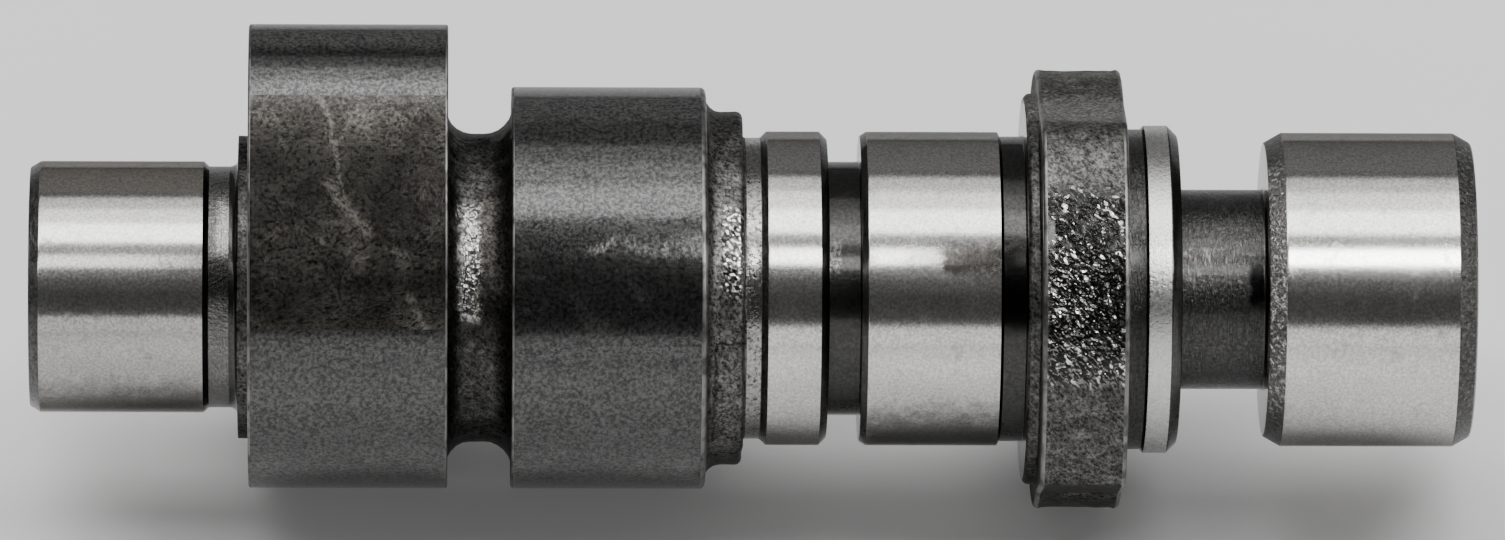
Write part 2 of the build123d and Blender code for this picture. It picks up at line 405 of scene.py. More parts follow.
def shaft_profile():
    """The half section from the left drill tip to the right one, in the order of the stations."""
    walk = Profile(cad_low[0] / MM + CENTRE_DEPTH, circle(0))
    go = walk.go
    go(-CENTRE_TIP_LENGTH, CENTRE_PILOT, SATIN)
    go(-CENTRE_PILOT_LENGTH, CENTRE_PILOT, SATIN)
    go(-CENTRE_CONE_LENGTH, CENTRE_MOUTH, SATIN)
    go(0, SMALL_RADIUS - SMALL_LEAD_DEPTH, SATIN, SMALL_FACE_EDGE)
    go(SMALL_LEAD, SMALL_RADIUS, GROOVED, SMALL_LEAD_EDGE, 2)
    go(SMALL_WALL, None, GROUND)
    go(SMALL_EDGE, SMALL_RADIUS - SMALL_UNDERCUT_DEPTH, TURNED)
    go(SMALL_UNDERCUT, None, SATIN, SMALL_UNDERCUT_BLEND, 4)
    go(0, THIN_COLLAR_RADIUS, TURNED, THIN_COLLAR_EDGE)
    go(THIN_COLLAR, None, FORGED, THIN_COLLAR_CORNER)
    go(0, outline(CAM_1_OUTLINE), FORGED, CAM_EDGE, 2, WEB_STEP)
    go(CAM_1_WIDTH, None, BLACK, CAM_EDGE, 2)
    go(0, CORE_RADIUS, FORGED, CORE_LEFT_BLEND, 5, WEB_STEP)
    go(CORE, None, FORGED, CORE_RIGHT_BLEND, 6, FORGED_STEP)
    go(0, outline(CAM_2_OUTLINE), FORGED, CAM_EDGE, 2, WEB_STEP)
    go(CAM_2_WIDTH, None, BLACK, CAM_2_FORGED_EDGE, 3)
    go(0, HEAVY_RADIUS, FORGED, HEAVY_BLEND, 4, WEB_STEP)
    go(HEAVY, None, FORGED, HEAVY_EDGE, 3, FORGED_STEP)
    go(0, STEP_RADIUS, FORGED, STEP_CORNER, 1, FORGED_STEP)
    go(STEP, None, MOTTLED, STEP_CORNER, 1, MOTTLED_STEP)
    go(STEP_LEAD, MIDDLE_RADIUS, GROOVED, STEP_LEAD_EDGE)
    go(MIDDLE_LEFT, None, GROUND)
    go(MIDDLE_CHAMFER, MIDDLE_RADIUS - MIDDLE_CHAMFER, TURNED)
    go(0, MIDDLE_RADIUS - OIL_GROOVE_DEPTH, TURNED, OIL_GROOVE_CORNER)
    go(OIL_GROOVE, None, TURNED, OIL_GROOVE_CORNER)
    go(0, MIDDLE_RADIUS - MIDDLE_LEAD_DEPTH, TURNED)
    go(MIDDLE_LEAD, MIDDLE_RADIUS, TURNED, MIDDLE_LEAD_EDGE, 2)
    go(MIDDLE_RIGHT, None, GROUND)
    go(MIDDLE_EDGE, MIDDLE_RADIUS - FLANGE_UNDERCUT_DEPTH, TURNED)
    go(FLANGE_UNDERCUT, None, TURNED, FLANGE_UNDERCUT_CORNER)
    go(0, HUB_RADIUS, TURNED, HUB_EDGE, 3)
    go(HUB, None, FORGED, HUB_CORNER)
    go(0, outline(FLANGE_OUTLINE), FORGED, FLANGE_EDGE, 3, WEB_STEP)
    go(FLANGE, None, FORGED, FLANGE_EDGE, 3, FORGED_STEP)
    go(0, RING_RADIUS - NECK_DEPTH, FORGED, NECK_CORNER, 1, WEB_STEP)
    go(NECK, None, GROOVED)
    go(NECK_LEAD, RING_RADIUS, TURNED)
    go(RING, None, RING_FACE, RING_EDGE, 2)
    go(RING_CHAMFER, RING_RADIUS - RING_CHAMFER, TURNED, RING_EDGE, 2)
    go(0, GROOVE_RADIUS, TURNED, GROOVE_CORNER, 2)
    go(GROOVE, None, GROOVED, GROOVE_CORNER, 2)
    go(0, END_RADIUS - END_LEAD_DEPTH, TURNED, END_FACE_EDGE)
    go(END_LEAD, END_RADIUS, SPECKLED, END_EDGE, 2)
    go(END_WALL, None, GROUND, END_EDGE, 2)
    go(END_LEAD, END_RADIUS - END_LEAD_DEPTH, SPECKLED, END_EDGE, 2)
    go(0, CENTRE_MOUTH, SATIN)
    go(-CENTRE_CONE_LENGTH, CENTRE_PILOT, SATIN)
    go(-CENTRE_PILOT_LENGTH, None, SATIN)
    go(-CENTRE_TIP_LENGTH, 0, SATIN)
    return walk


# ---- surface


def lattice_noise(points, size, seed):
    """Smooth noise between -1 and 1: random values at the corners of a cubic lattice of that cell
    size, joined by the cubic 3t^2 - 2t^3 along each axis. The values come from a hash of the
    corner's whole-number place, so that they depend on nothing else."""
    scaled = points / size
    cell = np.floor(scaled).astype(np.int64)
    part = scaled - cell
    part = part * part * (3 - 2 * part)
    total = np.zeros(points.shape[:-1])
    for corner in range(8):
        bits = np.array([corner & 1, corner >> 1 & 1, corner >> 2 & 1])
        place = cell + bits
        mixed = place[..., 0] * MIX_X ^ place[..., 1] * MIX_Y ^ place[..., 2] * MIX_Z
        mixed = (mixed + seed * MIX_SEED) & WORD
        mixed = (mixed ^ mixed >> 15) * MIX_FIRST & WORD
        mixed = (mixed ^ mixed >> 13) * MIX_SECOND & WORD
        value = (mixed ^ mixed >> 16) / HALF_WORD - 1
        share = np.where(bits == 1, part, 1 - part).prod(axis=-1)
        total += share * value
    return total


def grid_normals(points):
    """Vertex normals weighted by face area: each quad's cross product of diagonals is added to
    its four corners, so that a narrow edge facet takes the bend and the wide faces stay true."""
    below, above = points[:-1], points[1:]
    next_below, next_above = np.roll(below, -1, axis=1), np.roll(above, -1, axis=1)
    faces = np.cross(next_above - below, above - next_below)
    normals = np.zeros_like(points)
    normals[:-1] += faces + np.roll(faces, 1, axis=1)
    normals[1:] += faces + np.roll(faces, 1, axis=1)
    length = np.linalg.norm(normals, axis=-1, keepdims=True)
    return normals / np.maximum(length, NO_LENGTH)


def shaft_points(places, weights, finishes):
    """Points of the surface, station by step: place along the axis, and the outlines' weighted
    radius turned round it. A station with a forged strip on both sides is then moved along its
    normals by the forging relief: the sum of the layers of noise, shifted so that it mostly
    lowers the surface, times the depth."""
    radii = weights @ OUTLINES
    angle = np.arange(ROUND_STEPS) * 2 * pi / ROUND_STEPS
    along = np.repeat(places[:, None], ROUND_STEPS, axis=1)
    points = np.stack([along, radii * np.cos(angle), radii * np.sin(angle)], axis=-1)
    forged = finishes == FORGED
    rough = np.zeros(len(places))
    rough[1:-1] = forged[:-1] & forged[1:]
    layers = [lattice_noise(points, size, seed) * share for size, seed, share in RELIEF_LAYERS]
    relief = RELIEF_DEPTH * (sum(layers) - RELIEF_SHIFT)
    return points + grid_normals(points) * (relief * rough[:, None])[..., None]


def strip_finishes(weights, finishes):
    """Finish of each quad: that of its strip, with the cams' flanks set apart."""
    slots = np.repeat(finishes[1:-1, None], ROUND_STEPS, axis=1)
    for number, flanks in ((CAM_1_OUTLINE, CAM_1_FLANKS), (CAM_2_OUTLINE, CAM_2_FLANKS)):
        on_cam = (finishes[1:-1] == BLACK) & (weights[1:-2, number] > 0)
        slots[on_cam[:, None] & (flanks & np.roll(flanks, -1))] = FLANK
    return slots


def shaft_mesh():
    """The closed mesh: quads between neighbouring stations, and a fan at each drill tip."""
    places, weights, finishes = shaft_profile().stations()
    points = shaft_points(places, weights, finishes)
    normals = grid_normals(points)
    rows, steps = points.shape[:2]
    inner = points[1:-1].reshape(-1, 3)
    vertices = np.concatenate([points[:1, 0], inner, points[-1:, 0]]) * MM
    index = 1 + np.arange((rows - 2) * steps).reshape(rows - 2, steps)
    around = np.roll(index, -1, axis=1)
    quads = np.stack([index[:-1], around[:-1], around[1:], index[1:]], axis=-1).reshape(-1, 4)
    left_tip, right_tip = 0, len(vertices) - 1
    left_fan = np.stack([np.full(steps, left_tip), around[0], index[0]], axis=-1)
    right_fan = np.stack([np.full(steps, right_tip), index[-1], around[-1]], axis=-1)
    mesh = bpy.data.meshes.new("camshaft_surface")
    loops = np.concatenate([quads.ravel(), left_fan.ravel(), right_fan.ravel()])
    sizes = np.concatenate([np.full(len(quads), 4), np.full(2 * steps, 3)])
    mesh.vertices.add(len(vertices))
    mesh.vertices.foreach_set("co", vertices.astype(np.float32).ravel())
    mesh.loops.add(len(loops))
    mesh.loops.foreach_set("vertex_index", loops.astype(np.int32))
    mesh.polygons.add(len(sizes))
    starts = np.concatenate([[0], np.cumsum(sizes)[:-1]])
    mesh.polygons.foreach_set("loop_start", starts.astype(np.int32))
    slots = np.concatenate([strip_finishes(weights, finishes).ravel(), np.full(2 * steps, SATIN)])
    mesh.polygons.foreach_set("material_index", slots.astype(np.int32))
    mesh.update(calc_edges=True)
    mesh.validate()
    right = np.array([[1.0, 0, 0]])
    vertex_normals = np.concatenate([-right, normals[1:-1].reshape(-1, 3), right])
    mesh.shade_smooth()
    mesh.normals_split_custom_set_from_vertices(vertex_normals.astype(np.float32).tolist())
    return mesh


# ---- finishes


# Cosine of an eighth of a turn, the depths between which patches and marks fade in at the front
# side's outline, and how far noise shifts a mark, both in millimetres
EIGHTH_TURN = 0.707
FRONT_DEPTH = (1.0, 3.0)
STROKE_WANDER = 0.9


class Value:
    """A shader socket that takes part in Python arithmetic; each operation adds a Math node."""

    def __init__(self, shader, socket):
        self.shader = shader
        self.socket = socket

    def math(self, operation, other, swap=False):
        """One Math node on this value and another value or number, in either order."""
        inputs = [other, self] if swap else [self, other]
        return self.shader.node("Math", dict(enumerate(inputs)), operation=operation)

    __add__ = __radd__ = partialmethod(math, "ADD")
    __mul__ = __rmul__ = partialmethod(math, "MULTIPLY")
    __sub__ = partialmethod(math, "SUBTRACT")
    __rsub__ = partialmethod(math, "SUBTRACT", swap=True)

    # The value to a power, the larger of two values, and the value without its sign
    power = partialmethod(math, "POWER")
    larger = partialmethod(math, "MAXIMUM")
    size = partialmethod(math, "ABSOLUTE", 0.0)


class Shader:
    """A material's nodes: one method adds any node, with its settings and its inputs."""

    def __init__(self, name):
        self.material = bpy.data.materials.new(name)
        self.material.use_nodes = True
        self.tree = self.material.node_tree
        self.surface = self.tree.nodes["Principled BSDF"]

    def node(self, kind, inputs=None, output=0, **settings):
        """A node with its settings, then its inputs; the value of one of its outputs."""
        made = self.tree.nodes.new("ShaderNode" + kind)
        for key, setting in settings.items():
            setattr(made, key, setting)
        for key, value in (inputs or {}).items():
            self.feed(made.inputs[key], value)
        return Value(self, made.outputs[output])

    def feed(self, socket, value):
        """Links a value to a socket, or sets the socket to a number, a vector or a colour."""
        if isinstance(value, Value):
            self.tree.links.new(value.socket, socket)
        elif isinstance(value, tuple) and len(value) == 3 and len(socket.default_value) == 4:
            socket.default_value = (*value, 1)
        else:
            socket.default_value = value

    def place(self, stretch=(1, 1, 1)):
        """Object coordinates in millimetres, stretched along each axis."""
        where = self.node("TexCoord", output="Object")
        scale = tuple(share / MM for share in stretch)
        return self.node("VectorMath", {0: where, 1: scale}, operation="MULTIPLY")

    def view_plane(self):
        """Place along the shaft, height across it in the plane square to the viewing direction,
        and depth out of that plane, in millimetres: Y and Z turned by the viewing elevation."""
        where = self.place()
        x, y, z = (self.node("SeparateXYZ", {0: where}, axis) for axis in range(3))
        rise, reach = sin(radians(CAMERA_ELEVATION)), cos(radians(CAMERA_ELEVATION))
        return x, y * rise + z * reach, z * rise - y * reach

    def slanted(self, along, across):
        """Place in the plane square to the viewing direction, turned by an eighth of a turn and
        stretched along and across the slant: difference and sum of place and height, each over
        the root of two."""
        x, height, depth = self.view_plane()
        slant_x = (x - height) * (along * EIGHTH_TURN)
        slant_y = (x + height) * (across * EIGHTH_TURN)
        return self.node("CombineXYZ", {0: slant_x, 1: slant_y, 2: depth})

    def stroke(self, x, height, start, end, width):
        """1 on a straight mark, falling to 0 at its width: the distance to the nearest point of
        the line between its ends, the foot of the perpendicular held between the two."""
        run, rise = end[0] - start[0], end[1] - start[1]
        square = run * run + rise * rise
        share = (x - start[0]) * (run / square) + (height - start[1]) * (rise / square)
        foot = self.node("Clamp", {0: share})
        across = x - start[0] - foot * run
        along = height - start[1] - foot * rise
        away = (across * across + along * along).power(0.5)
        return self.ramp(away, width, 0.0)

    def patch(self, area):
        """1 on an area of the side that faces the camera, between two places along the shaft and
        two heights: the product of the ramps of the distances from its middle lines, with a
        border that wanders and is as soft as the area's last number says."""
        left, right, low, high, soft = area
        x, height, depth = self.view_plane()
        wander = (self.noise(0.9, 4, 0.65) - 0.5) * (2.5 * soft)
        along = (x + wander - (left + right) / 2).size()
        across = (height + wander - (low + high) / 2).size()
        reach, rise = (right - left) / 2, (high - low) / 2
        inside = self.ramp(along, reach + soft / 2, reach - soft / 2)
        inside = inside * self.ramp(across, rise + soft, rise - soft)
        return inside * self.ramp(depth, *FRONT_DEPTH)

    def strokes(self, marks):
        """The strongest of several marks, each a width, a strength and the places of its bends.
        The plane is shifted a little by noise, so that no mark is quite straight."""
        x, height, depth = self.view_plane()
        wander = self.noise(1.1, 3, 0.6)
        x = x + (wander - 0.5) * STROKE_WANDER
        rise = self.noise(1.4, 3, 0.6, self.place((1, 1, 1.01)))
        height = height + (rise - 0.5) * STROKE_WANDER
        strongest = None
        for width, strength, bends in marks:
            for start, end in zip(bends, bends[1:]):
                mark = self.stroke(x, height, start, end, width) * strength
                strongest = mark if strongest is None else strongest.larger(mark)
        broken = self.speckle(1.7, 4.0, 0.7, 0.30, 0.52)
        return strongest * broken * self.ramp(depth, *FRONT_DEPTH)

    def noise(self, scale, detail=2, roughness=0.5, where=None):
        """Noise round a half, of that many cells to a unit of place."""
        inputs = {"Scale": scale, "Detail": detail, "Roughness": roughness}
        return self.node("TexNoise", {"Vector": where or self.place(), **inputs})

    def speckle(self, scale, detail=3, roughness=0.7, low=0.3, high=0.7, stretch=(1, 1, 1)):
        """Noise of that many cells to the millimetre, spread from 0 at low to 1 at high."""
        return self.ramp(self.noise(scale, detail, roughness, self.place(stretch)), low, high)

    def lines(self, along, around, detail):
        """Tool lines round the shaft: noise that changes fast along it and slowly round it."""
        return self.noise(1, detail, 0.6, self.place((along, around, around)))

    def ramp(self, value, low, high):
        """0 below low, 1 above high, and a smooth change between them."""
        inputs = {"Value": value, "From Min": low, "From Max": high}
        return self.node("MapRange", inputs, interpolation_type="SMOOTHSTEP")

    def mix(self, share, first, second):
        """Colour between two colours. Sockets 6 and 7 and output 2 are those for colours."""
        inputs = {0: share, 6: first, 7: second}
        return self.node("Mix", inputs, output=2, data_type="RGBA")

    def metal(self, level, tint, metallic=1.0, **inputs):
        """The material of a metal: its tint at a level of brightness, and its other inputs."""
        colour = self.mix(level, (0, 0, 0), tint)
        return self.finish(Base_Color=colour, Metallic=metallic, **inputs)

    def bump(self, height, distance):
        """The normal of a relief whose height of 1 stands a distance in metres high."""
        return self.node("Bump", {"Height": height, "Distance": distance})

    def finish(self, **inputs):
        """The material, with the inputs of its surface set or linked."""
        for key, value in inputs.items():
            self.feed(self.surface.inputs[key.replace("_", " ")], value)
        return self.material


# Tints of metal at full brightness
CLEAN_STEEL = (0.90, 0.885, 0.86)
FILMED_STEEL = (0.91, 0.865, 0.79)
SATIN_TINT = (1, 0.98, 0.95)
CLEAR_TINT = (1, 0.99, 0.97)
OILY_TINT = (1, 0.98, 0.92)
SCALE_TINT = (1, 0.98, 0.94)
RUSTY_TINT = (1, 0.95, 0.86)
BROWN_TINT = (1, 0.95, 0.84)

# Tints of the reflections at a grazing angle
GROUND_RIM = (0.4, 0.4, 0.4)
DARK_RIM = (0.35, 0.35, 0.35)

# Areas of the side that faces the camera, in millimetres: left and right end along the shaft, low
# and high end square to it, and the softness of the border
SMALL_JOURNAL_FILM = (-8, 7, 7.4, 11, 0.5)
# Painted shade, tinted brown, over the small journal's lower front
SMALL_JOURNAL_LOW_PAINTED_SHADE = (-8, 7, -14, -2.3, 0.7)
# Painted shade at the small journal's foot
SMALL_JOURNAL_FOOT_PAINTED_SHADE = (-8, 7, -11, -8, 1.4)
# Painted shade, tinted brown, over the strip lamp's highlight at the middle journal's right
MIDDLE_JOURNAL_HIGHLIGHT_PAINTED_SHADE = (65.1, 71.5, 1.15, 3.25, 0.7)
# Painted shade at the middle journal's foot
MIDDLE_JOURNAL_FOOT_PAINTED_SHADE = (59, 70.5, -14, -9.8, 1.6)


def ground_steel():
    """Bright ground steel: fine grinding lines round the shaft, light handling marks along it, a
    brown film along the small journal's top, and painted shade at the feet of both journals;
    painted shade tinted brown lies low on the small journal's front and over the strip lamp's
    highlight at the middle journal's right."""
    shader = Shader("ground_steel")
    lines = shader.lines(9, 0.25, 3)
    grain = shader.speckle(4.4, 3, 0.8, 0.34, 0.66)
    cloud = shader.noise(0.22, 3)
    smudge = shader.speckle(0.9, 4, 0.65, 0.54, 0.75, (1, 0.6, 0.6))
    # Painted shade darkens the feet of both journals
    dull = shader.patch(SMALL_JOURNAL_FOOT_PAINTED_SHADE) * 0.45
    dull = dull.larger(shader.patch(MIDDLE_JOURNAL_FOOT_PAINTED_SHADE) * 0.6)
    # Painted shade, tinted brown: low on the small journal's front and over the middle journal's
    # strip highlight
    brown_painted_shade = shader.patch(SMALL_JOURNAL_LOW_PAINTED_SHADE) * 0.34
    brown_painted_shade = brown_painted_shade.larger(shader.patch(MIDDLE_JOURNAL_HIGHLIGHT_PAINTED_SHADE) * 0.8)
    film = shader.patch(SMALL_JOURNAL_FILM)
    level = 0.47 + cloud * 0.1 + grain * 0.35 + lines * 0.06
    level = level * (1 - smudge * 0.22) * (1 - dull) * (1 - brown_painted_shade)
    return shader.metal(
        level,
        shader.mix(film.larger(brown_painted_shade), CLEAN_STEEL, FILMED_STEEL),
        Roughness=0.11 + cloud * 0.05 + lines * 0.03 + smudge * 0.08,
        Specular_Tint=GROUND_RIM,
        Normal=shader.bump(lines * 0.6 + grain * 0.4, 1.5 * MICRON),
    )


# Painted shade low in the small journal's undercut at the front
UNDERCUT_PAINTED_SHADE = (6.8, 10.5, -0.9, 2.2, 0.6)
# Painted highlight high in the small journal's undercut at the front
UNDERCUT_PAINTED_HIGHLIGHT = (7.8, 8.9, 2.9, 6.9, 0.7)


def satin_steel():
    """Turned steel left bright: the end faces, the centre holes and the small journal's undercut,
    which has a painted highlight above and painted shade below it at the front."""
    shader = Shader("satin_steel")
    lines = shader.lines(7, 0.2, 2)
    grain = shader.speckle(3.5)
    cloud = shader.noise(0.6)
    # Painted shade in the undercut's lower corner at the front
    corner = shader.patch(UNDERCUT_PAINTED_SHADE) * 0.75
    # Painted highlight in the undercut at the front
    painted_gleam = shader.patch(UNDERCUT_PAINTED_HIGHLIGHT)
    level = (0.1 + cloud * 0.1 + grain * 0.09 + painted_gleam * 0.3) * (1 - corner)
    relief = shader.bump(lines + grain, 30 * MICRON)
    return shader.metal(level, SATIN_TINT, Roughness=0.17 + cloud * 0.06, Normal=relief)


def ring_steel():
    """The thrust ring's ground face, dulled by rubbing: a wide soft sheen."""
    shader = Shader("ring_steel")
    grain = shader.speckle(3.8)
    lines = shader.lines(7, 0.3, 2)
    level = 0.56 + grain * 0.14 + lines * 0.08
    relief = shader.bump(grain, 10 * MICRON)
    return shader.metal(level, CLEAR_TINT, Roughness=0.25 + grain * 0.05, Normal=relief)


# Painted highlight of the strip lamps on the step's front
STEP_PAINTED_HIGHLIGHT = (49.9, 51.5, 1.4, 3.7, 0.5)


def mottled_steel():
    """The step beside the heavy collar: half-cleaned scale, bright metal with small dark pits, and
    a painted highlight of the strip lamps at the front."""
    shader = Shader("mottled_steel")
    pits = shader.speckle(2.6, 3, 0.7, 0.34, 0.5, (1.2, 1, 1))
    grain = shader.speckle(3.8)
    # Painted highlight on the step's front
    painted_glow = shader.patch(STEP_PAINTED_HIGHLIGHT)
    level = 0.08 + pits * (0.17 + grain * 0.24) + painted_glow * pits * (0.1 + grain * 0.35)
    relief = shader.bump(pits + grain * 0.3, 10 * MICRON)
    return shader.metal(level, SATIN_TINT, Roughness=0.16, Normal=relief)


# Painted highlight of the strip lamps on the oil groove's left edge at the front
OIL_GROOVE_PAINTED_HIGHLIGHT = (56.3, 57.2, 1.3, 3.7, 0.2)
# Painted shade in the flange's undercut at the front, beside the flange
FLANGE_UNDERCUT_PAINTED_SHADE = (69.7, 72.9, -3.3, 3.4, 0.8)


def turned_steel():
    """Turned steel under the black coat, with faint tool marks round the shaft and an oily film; a
    grainy painted highlight lies on the oil groove's left edge at the front, and painted shade
    darkens the front of the flange's undercut."""
    shader = Shader("turned_steel")
    lines = shader.lines(5, 0.15, 2)
    stain = shader.noise(0.5, 3)
    grain = shader.speckle(3.6, roughness=0.75)
    # Painted highlight, grainy, on the oil groove's left edge at the front
    worn = shader.patch(OIL_GROOVE_PAINTED_HIGHLIGHT) * grain
    # Painted shade in the flange's undercut, darkening the colour and thinning the coat
    corner = 1 - shader.patch(FLANGE_UNDERCUT_PAINTED_SHADE) * 0.8
    level = (0.01 + stain * 0.026 + grain * 0.026) * corner + worn * 0.13
    return shader.metal(
        level,
        OILY_TINT,
        Roughness=0.2 + stain * 0.1,
        Coat_Weight=(0.55 + grain * 0.3) * corner,
        Coat_Roughness=0.13,
        Specular_Tint=DARK_RIM,
        Normal=shader.bump(lines + grain * 0.3, 20 * MICRON),
    )


# Painted glints of the strip lamps on the rubbed streaks at the groove's front
GROOVE_PAINTED_GLINTS = (84.6, 89.6, -0.2, 3.2, 0.5)
# Stronger painted glints at the groove's left
GROOVE_LEFT_PAINTED_GLINTS = (84.3, 86.6, -0.4, 3.4, 0.5)
# Painted shadow of the groove's right wall in its right corner at the front
GROOVE_CORNER_PAINTED_SHADOW = (89.7, 93, -1.2, 2, 0.5)
GROOVE_SHADE = (83.5, 93, -2.4, 2.4, 0.8)
NECK_SHADE = (80, 82.3, -15, 5, 1)


def groove_steel():
    """The thrust groove's floor, the neck and the lead chamfers of the small journal and the step:
    dull grey, with short rubbed streaks round the shaft. At the groove's front the streaks carry
    painted glints, painted shadow darkens its right corner and painted shade lies across it; more
    painted shade lies low on the neck."""
    shader = Shader("groove_steel")
    streaks = shader.speckle(1, 3, 0.7, 0.46, 0.64, (3.2, 0.8, 0.8))
    grain = shader.speckle(3.6, roughness=0.75)
    # Painted glints: the streaks are brightened where the strip lamps reflect at the front
    rubbed = shader.patch(GROOVE_PAINTED_GLINTS) * streaks
    painted_left_glints = shader.patch(GROOVE_LEFT_PAINTED_GLINTS) * streaks
    # Painted shadow in the groove's right corner: darker colour and a thinner coat
    oil = shader.patch(GROOVE_CORNER_PAINTED_SHADOW)
    level = 0.03 + grain * 0.07 + streaks * 0.018 + rubbed * 0.05 + painted_left_glints * 0.09
    level = level * (1 - oil * 0.9) * (1 - shader.patch(NECK_SHADE) * 0.42)
    level = level * (1 - shader.patch(GROOVE_SHADE) * 0.3)
    return shader.metal(
        level,
        SATIN_TINT,
        Roughness=0.3,
        Coat_Weight=0.36 - oil * 0.3,
        Coat_Roughness=0.2,
        Normal=shader.bump(streaks + grain * 0.5, 40 * MICRON),
    )


END_CHAMFER_FRONT = (90, 94.6, -9.5, 9.5, 1.5)


def speckled_steel():
    """The end journal's chamfers: dull mottled black with specks, brighter at the left one's
    front."""
    shader = Shader("speckled_steel")
    specks = shader.speckle(2.6, 3, 0.7, 0.5, 0.66)
    grain = shader.speckle(3.6, roughness=0.75)
    near = shader.patch(END_CHAMFER_FRONT)
    level = 0.03 + grain * 0.08 + near * (0.07 + grain * 0.08) + specks * (0.08 + near * 0.34)
    relief = shader.bump(specks + grain * 0.5, 80 * MICRON)
    return shader.metal(level, SATIN_TINT, Roughness=0.32, Normal=relief)


# Marks: width, strength, and the places of the bends along the shaft and square to it
CAM_2_MARKS = (
    (0.55, 0.9, ((37.4, 2.8), (39.2, 3.7))),
    (0.45, 0.7, ((43.1, 3.3), (43.2, 2.7))),
    (0.9, 0.5, ((40.2, 3.6), (42, 2.6))),
    (0.9, 0.5, ((36.4, -0.9), (37.2, -2.6), (38.4, -3.1))),
    (0.8, 0.5, ((40.6, 0.3), (41.4, -0.8))),
    (0.3, 0.4, ((32, 0.75), (34.2, 0.7))),
    (0.28, 0.4, ((32.1, -1.8), (33.5, -1.75))),
)
# Painted shade across the top of cam 1's nose highlight
CAM_1_TOP_PAINTED_SHADE = (9, 27, 17.3, 18.8, 0.4)
# Painted shade on cam 2's front, widening the dark band there
CAM_2_FRONT_PAINTED_SHADE = (30, 47, -3.5, 2.4, 0.5)
# Painted light along the tops and the undersides of the cams
CAM_1_TOP_PAINTED_LIGHT = (9, 27, 19, 22, 0.4)
CAM_2_TOP_PAINTED_LIGHT = (30, 46, 13.2, 16, 0.6)
CAM_UNDERSIDES_PAINTED_LIGHT = (9, 46, -18, -13.4, 1.2)
CAM_FEET_PAINTED_LIGHT = (9, 46, -18, -14, 0.5)


def black_cam():
    """Blackened ground steel of the cams: a smooth clear film over a duller, finely grained
    black, with a few pale rubs. Painted shade darkens a band at the top of cam 1's nose and one
    on cam 2's front, and painted light brightens the tops and the undersides of both cams."""
    shader = Shader("black_cam")
    mottle = shader.speckle(0.5, 5, 0.7, 0.3, 0.7)
    grain = shader.speckle(3.3, 3, 0.8, 0.34, 0.66)
    rubs = shader.strokes(CAM_2_MARKS)
    # Painted shade in two bands, darkening the colour and thinning the coat
    stain = shader.patch(CAM_1_TOP_PAINTED_SHADE) * 0.4
    stain = stain.larger(shader.patch(CAM_2_FRONT_PAINTED_SHADE) * 0.35)
    # Painted light along the tops and the undersides, and more at the feet
    painted_rim_light = shader.patch(CAM_1_TOP_PAINTED_LIGHT).larger(shader.patch(CAM_2_TOP_PAINTED_LIGHT))
    painted_rim_light = painted_rim_light.larger(shader.patch(CAM_UNDERSIDES_PAINTED_LIGHT))
    level = 0.01 + mottle * 0.014 + grain * 0.083 + rubs * (0.04 + grain * 0.14)
    level = level * (1 - stain) * (1 + painted_rim_light * 0.9) * (1 + shader.patch(CAM_FEET_PAINTED_LIGHT) * 0.45)
    return shader.metal(
        level,
        CLEAR_TINT,
        metallic=0.8,
        Roughness=0.19 + mottle * 0.04,
        Coat_Weight=(0.66 + grain * 0.34) * (1 - stain),
        Coat_Roughness=0.12,
        Specular_Tint=DARK_RIM,
        Normal=shader.bump(grain, 5 * MICRON),
    )


FLANK_MARKS = (
    (0.36, 0.6, ((15.8, 15.1), (16.8, 13.2), (17.1, 11.3), (17.5, 8.8), (17.8, 7.3), (18.4, 6.1))),
    (0.8, 0.7, ((16.6, 8.3), (17.6, 6.8), (19.3, 5), (19.9, 4.3))),
    (0.3, 0.6, ((18.9, 14), (17.8, 11.9), (17.2, 11.2))),
    (1.5, 0.7, ((19, 13.3), (19.6, 12.8))),
    (0.4, 0.6, ((15.9, 3.8), (16.6, 3.3))),
    (0.32, 0.9, ((18.7, 2.3), (19.7, 2.35))),
    (0.5, 0.7, ((21.3, 3), (22.7, 2.6))),
    (0.45, 0.4, ((11.1, 3.5), (12.1, 1.5), (12.5, -0.2))),
    (0.5, 0.9, ((23.1, -0.6), (23.9, -2.6), (24.3, -3.2))),
)
FLANK_MIDDLE_DARKER = (9, 26, 7.6, 14.2, 1.6)
FLANK_UPPER_DARKER = (9, 27, 14, 16.5, 0.3)
FLANK_LEFT_DARKER = (9.5, 17.5, -4, 11, 2.6)
FLANK_LOW_PALER = (9, 26, 1.2, 5.4, 1.4)


def rubbed_flank():
    """The flanks of the cams: the coat is browner and rougher, darker over the middle, a band above
    it and the left, and paler low on the front, with wandering scratches."""
    shader = Shader("rubbed_flank")
    mottle = shader.speckle(0.2, 6, 0.7, 0.38, 0.64)
    grain = shader.speckle(3, 4, 0.8, 0.34, 0.66)
    marks = shader.strokes(FLANK_MARKS)
    # Darker over the middle, a band above it and the left; paler low on the front
    oily = 1 - shader.patch(FLANK_MIDDLE_DARKER) * 0.46
    oily = oily * (1 - shader.patch(FLANK_UPPER_DARKER) * 0.36)
    oily = oily * (1 - shader.patch(FLANK_LEFT_DARKER) * 0.28)
    paler_low = 1 + shader.patch(FLANK_LOW_PALER) * 1.1
    level = (0.5 + mottle * 0.75) * (0.004 + grain * 0.155) * oily * paler_low
    level = 0.01 + level + marks * (0.03 + grain * 0.16)
    return shader.metal(
        level,
        BROWN_TINT,
        metallic=0.9,
        Roughness=0.19 + mottle * 0.06 + marks * 0.12,
        Coat_Weight=0.3 + grain * 0.3,
        Coat_Roughness=0.13,
        Normal=shader.bump(grain + marks * 0.6, 9 * MICRON),
    )


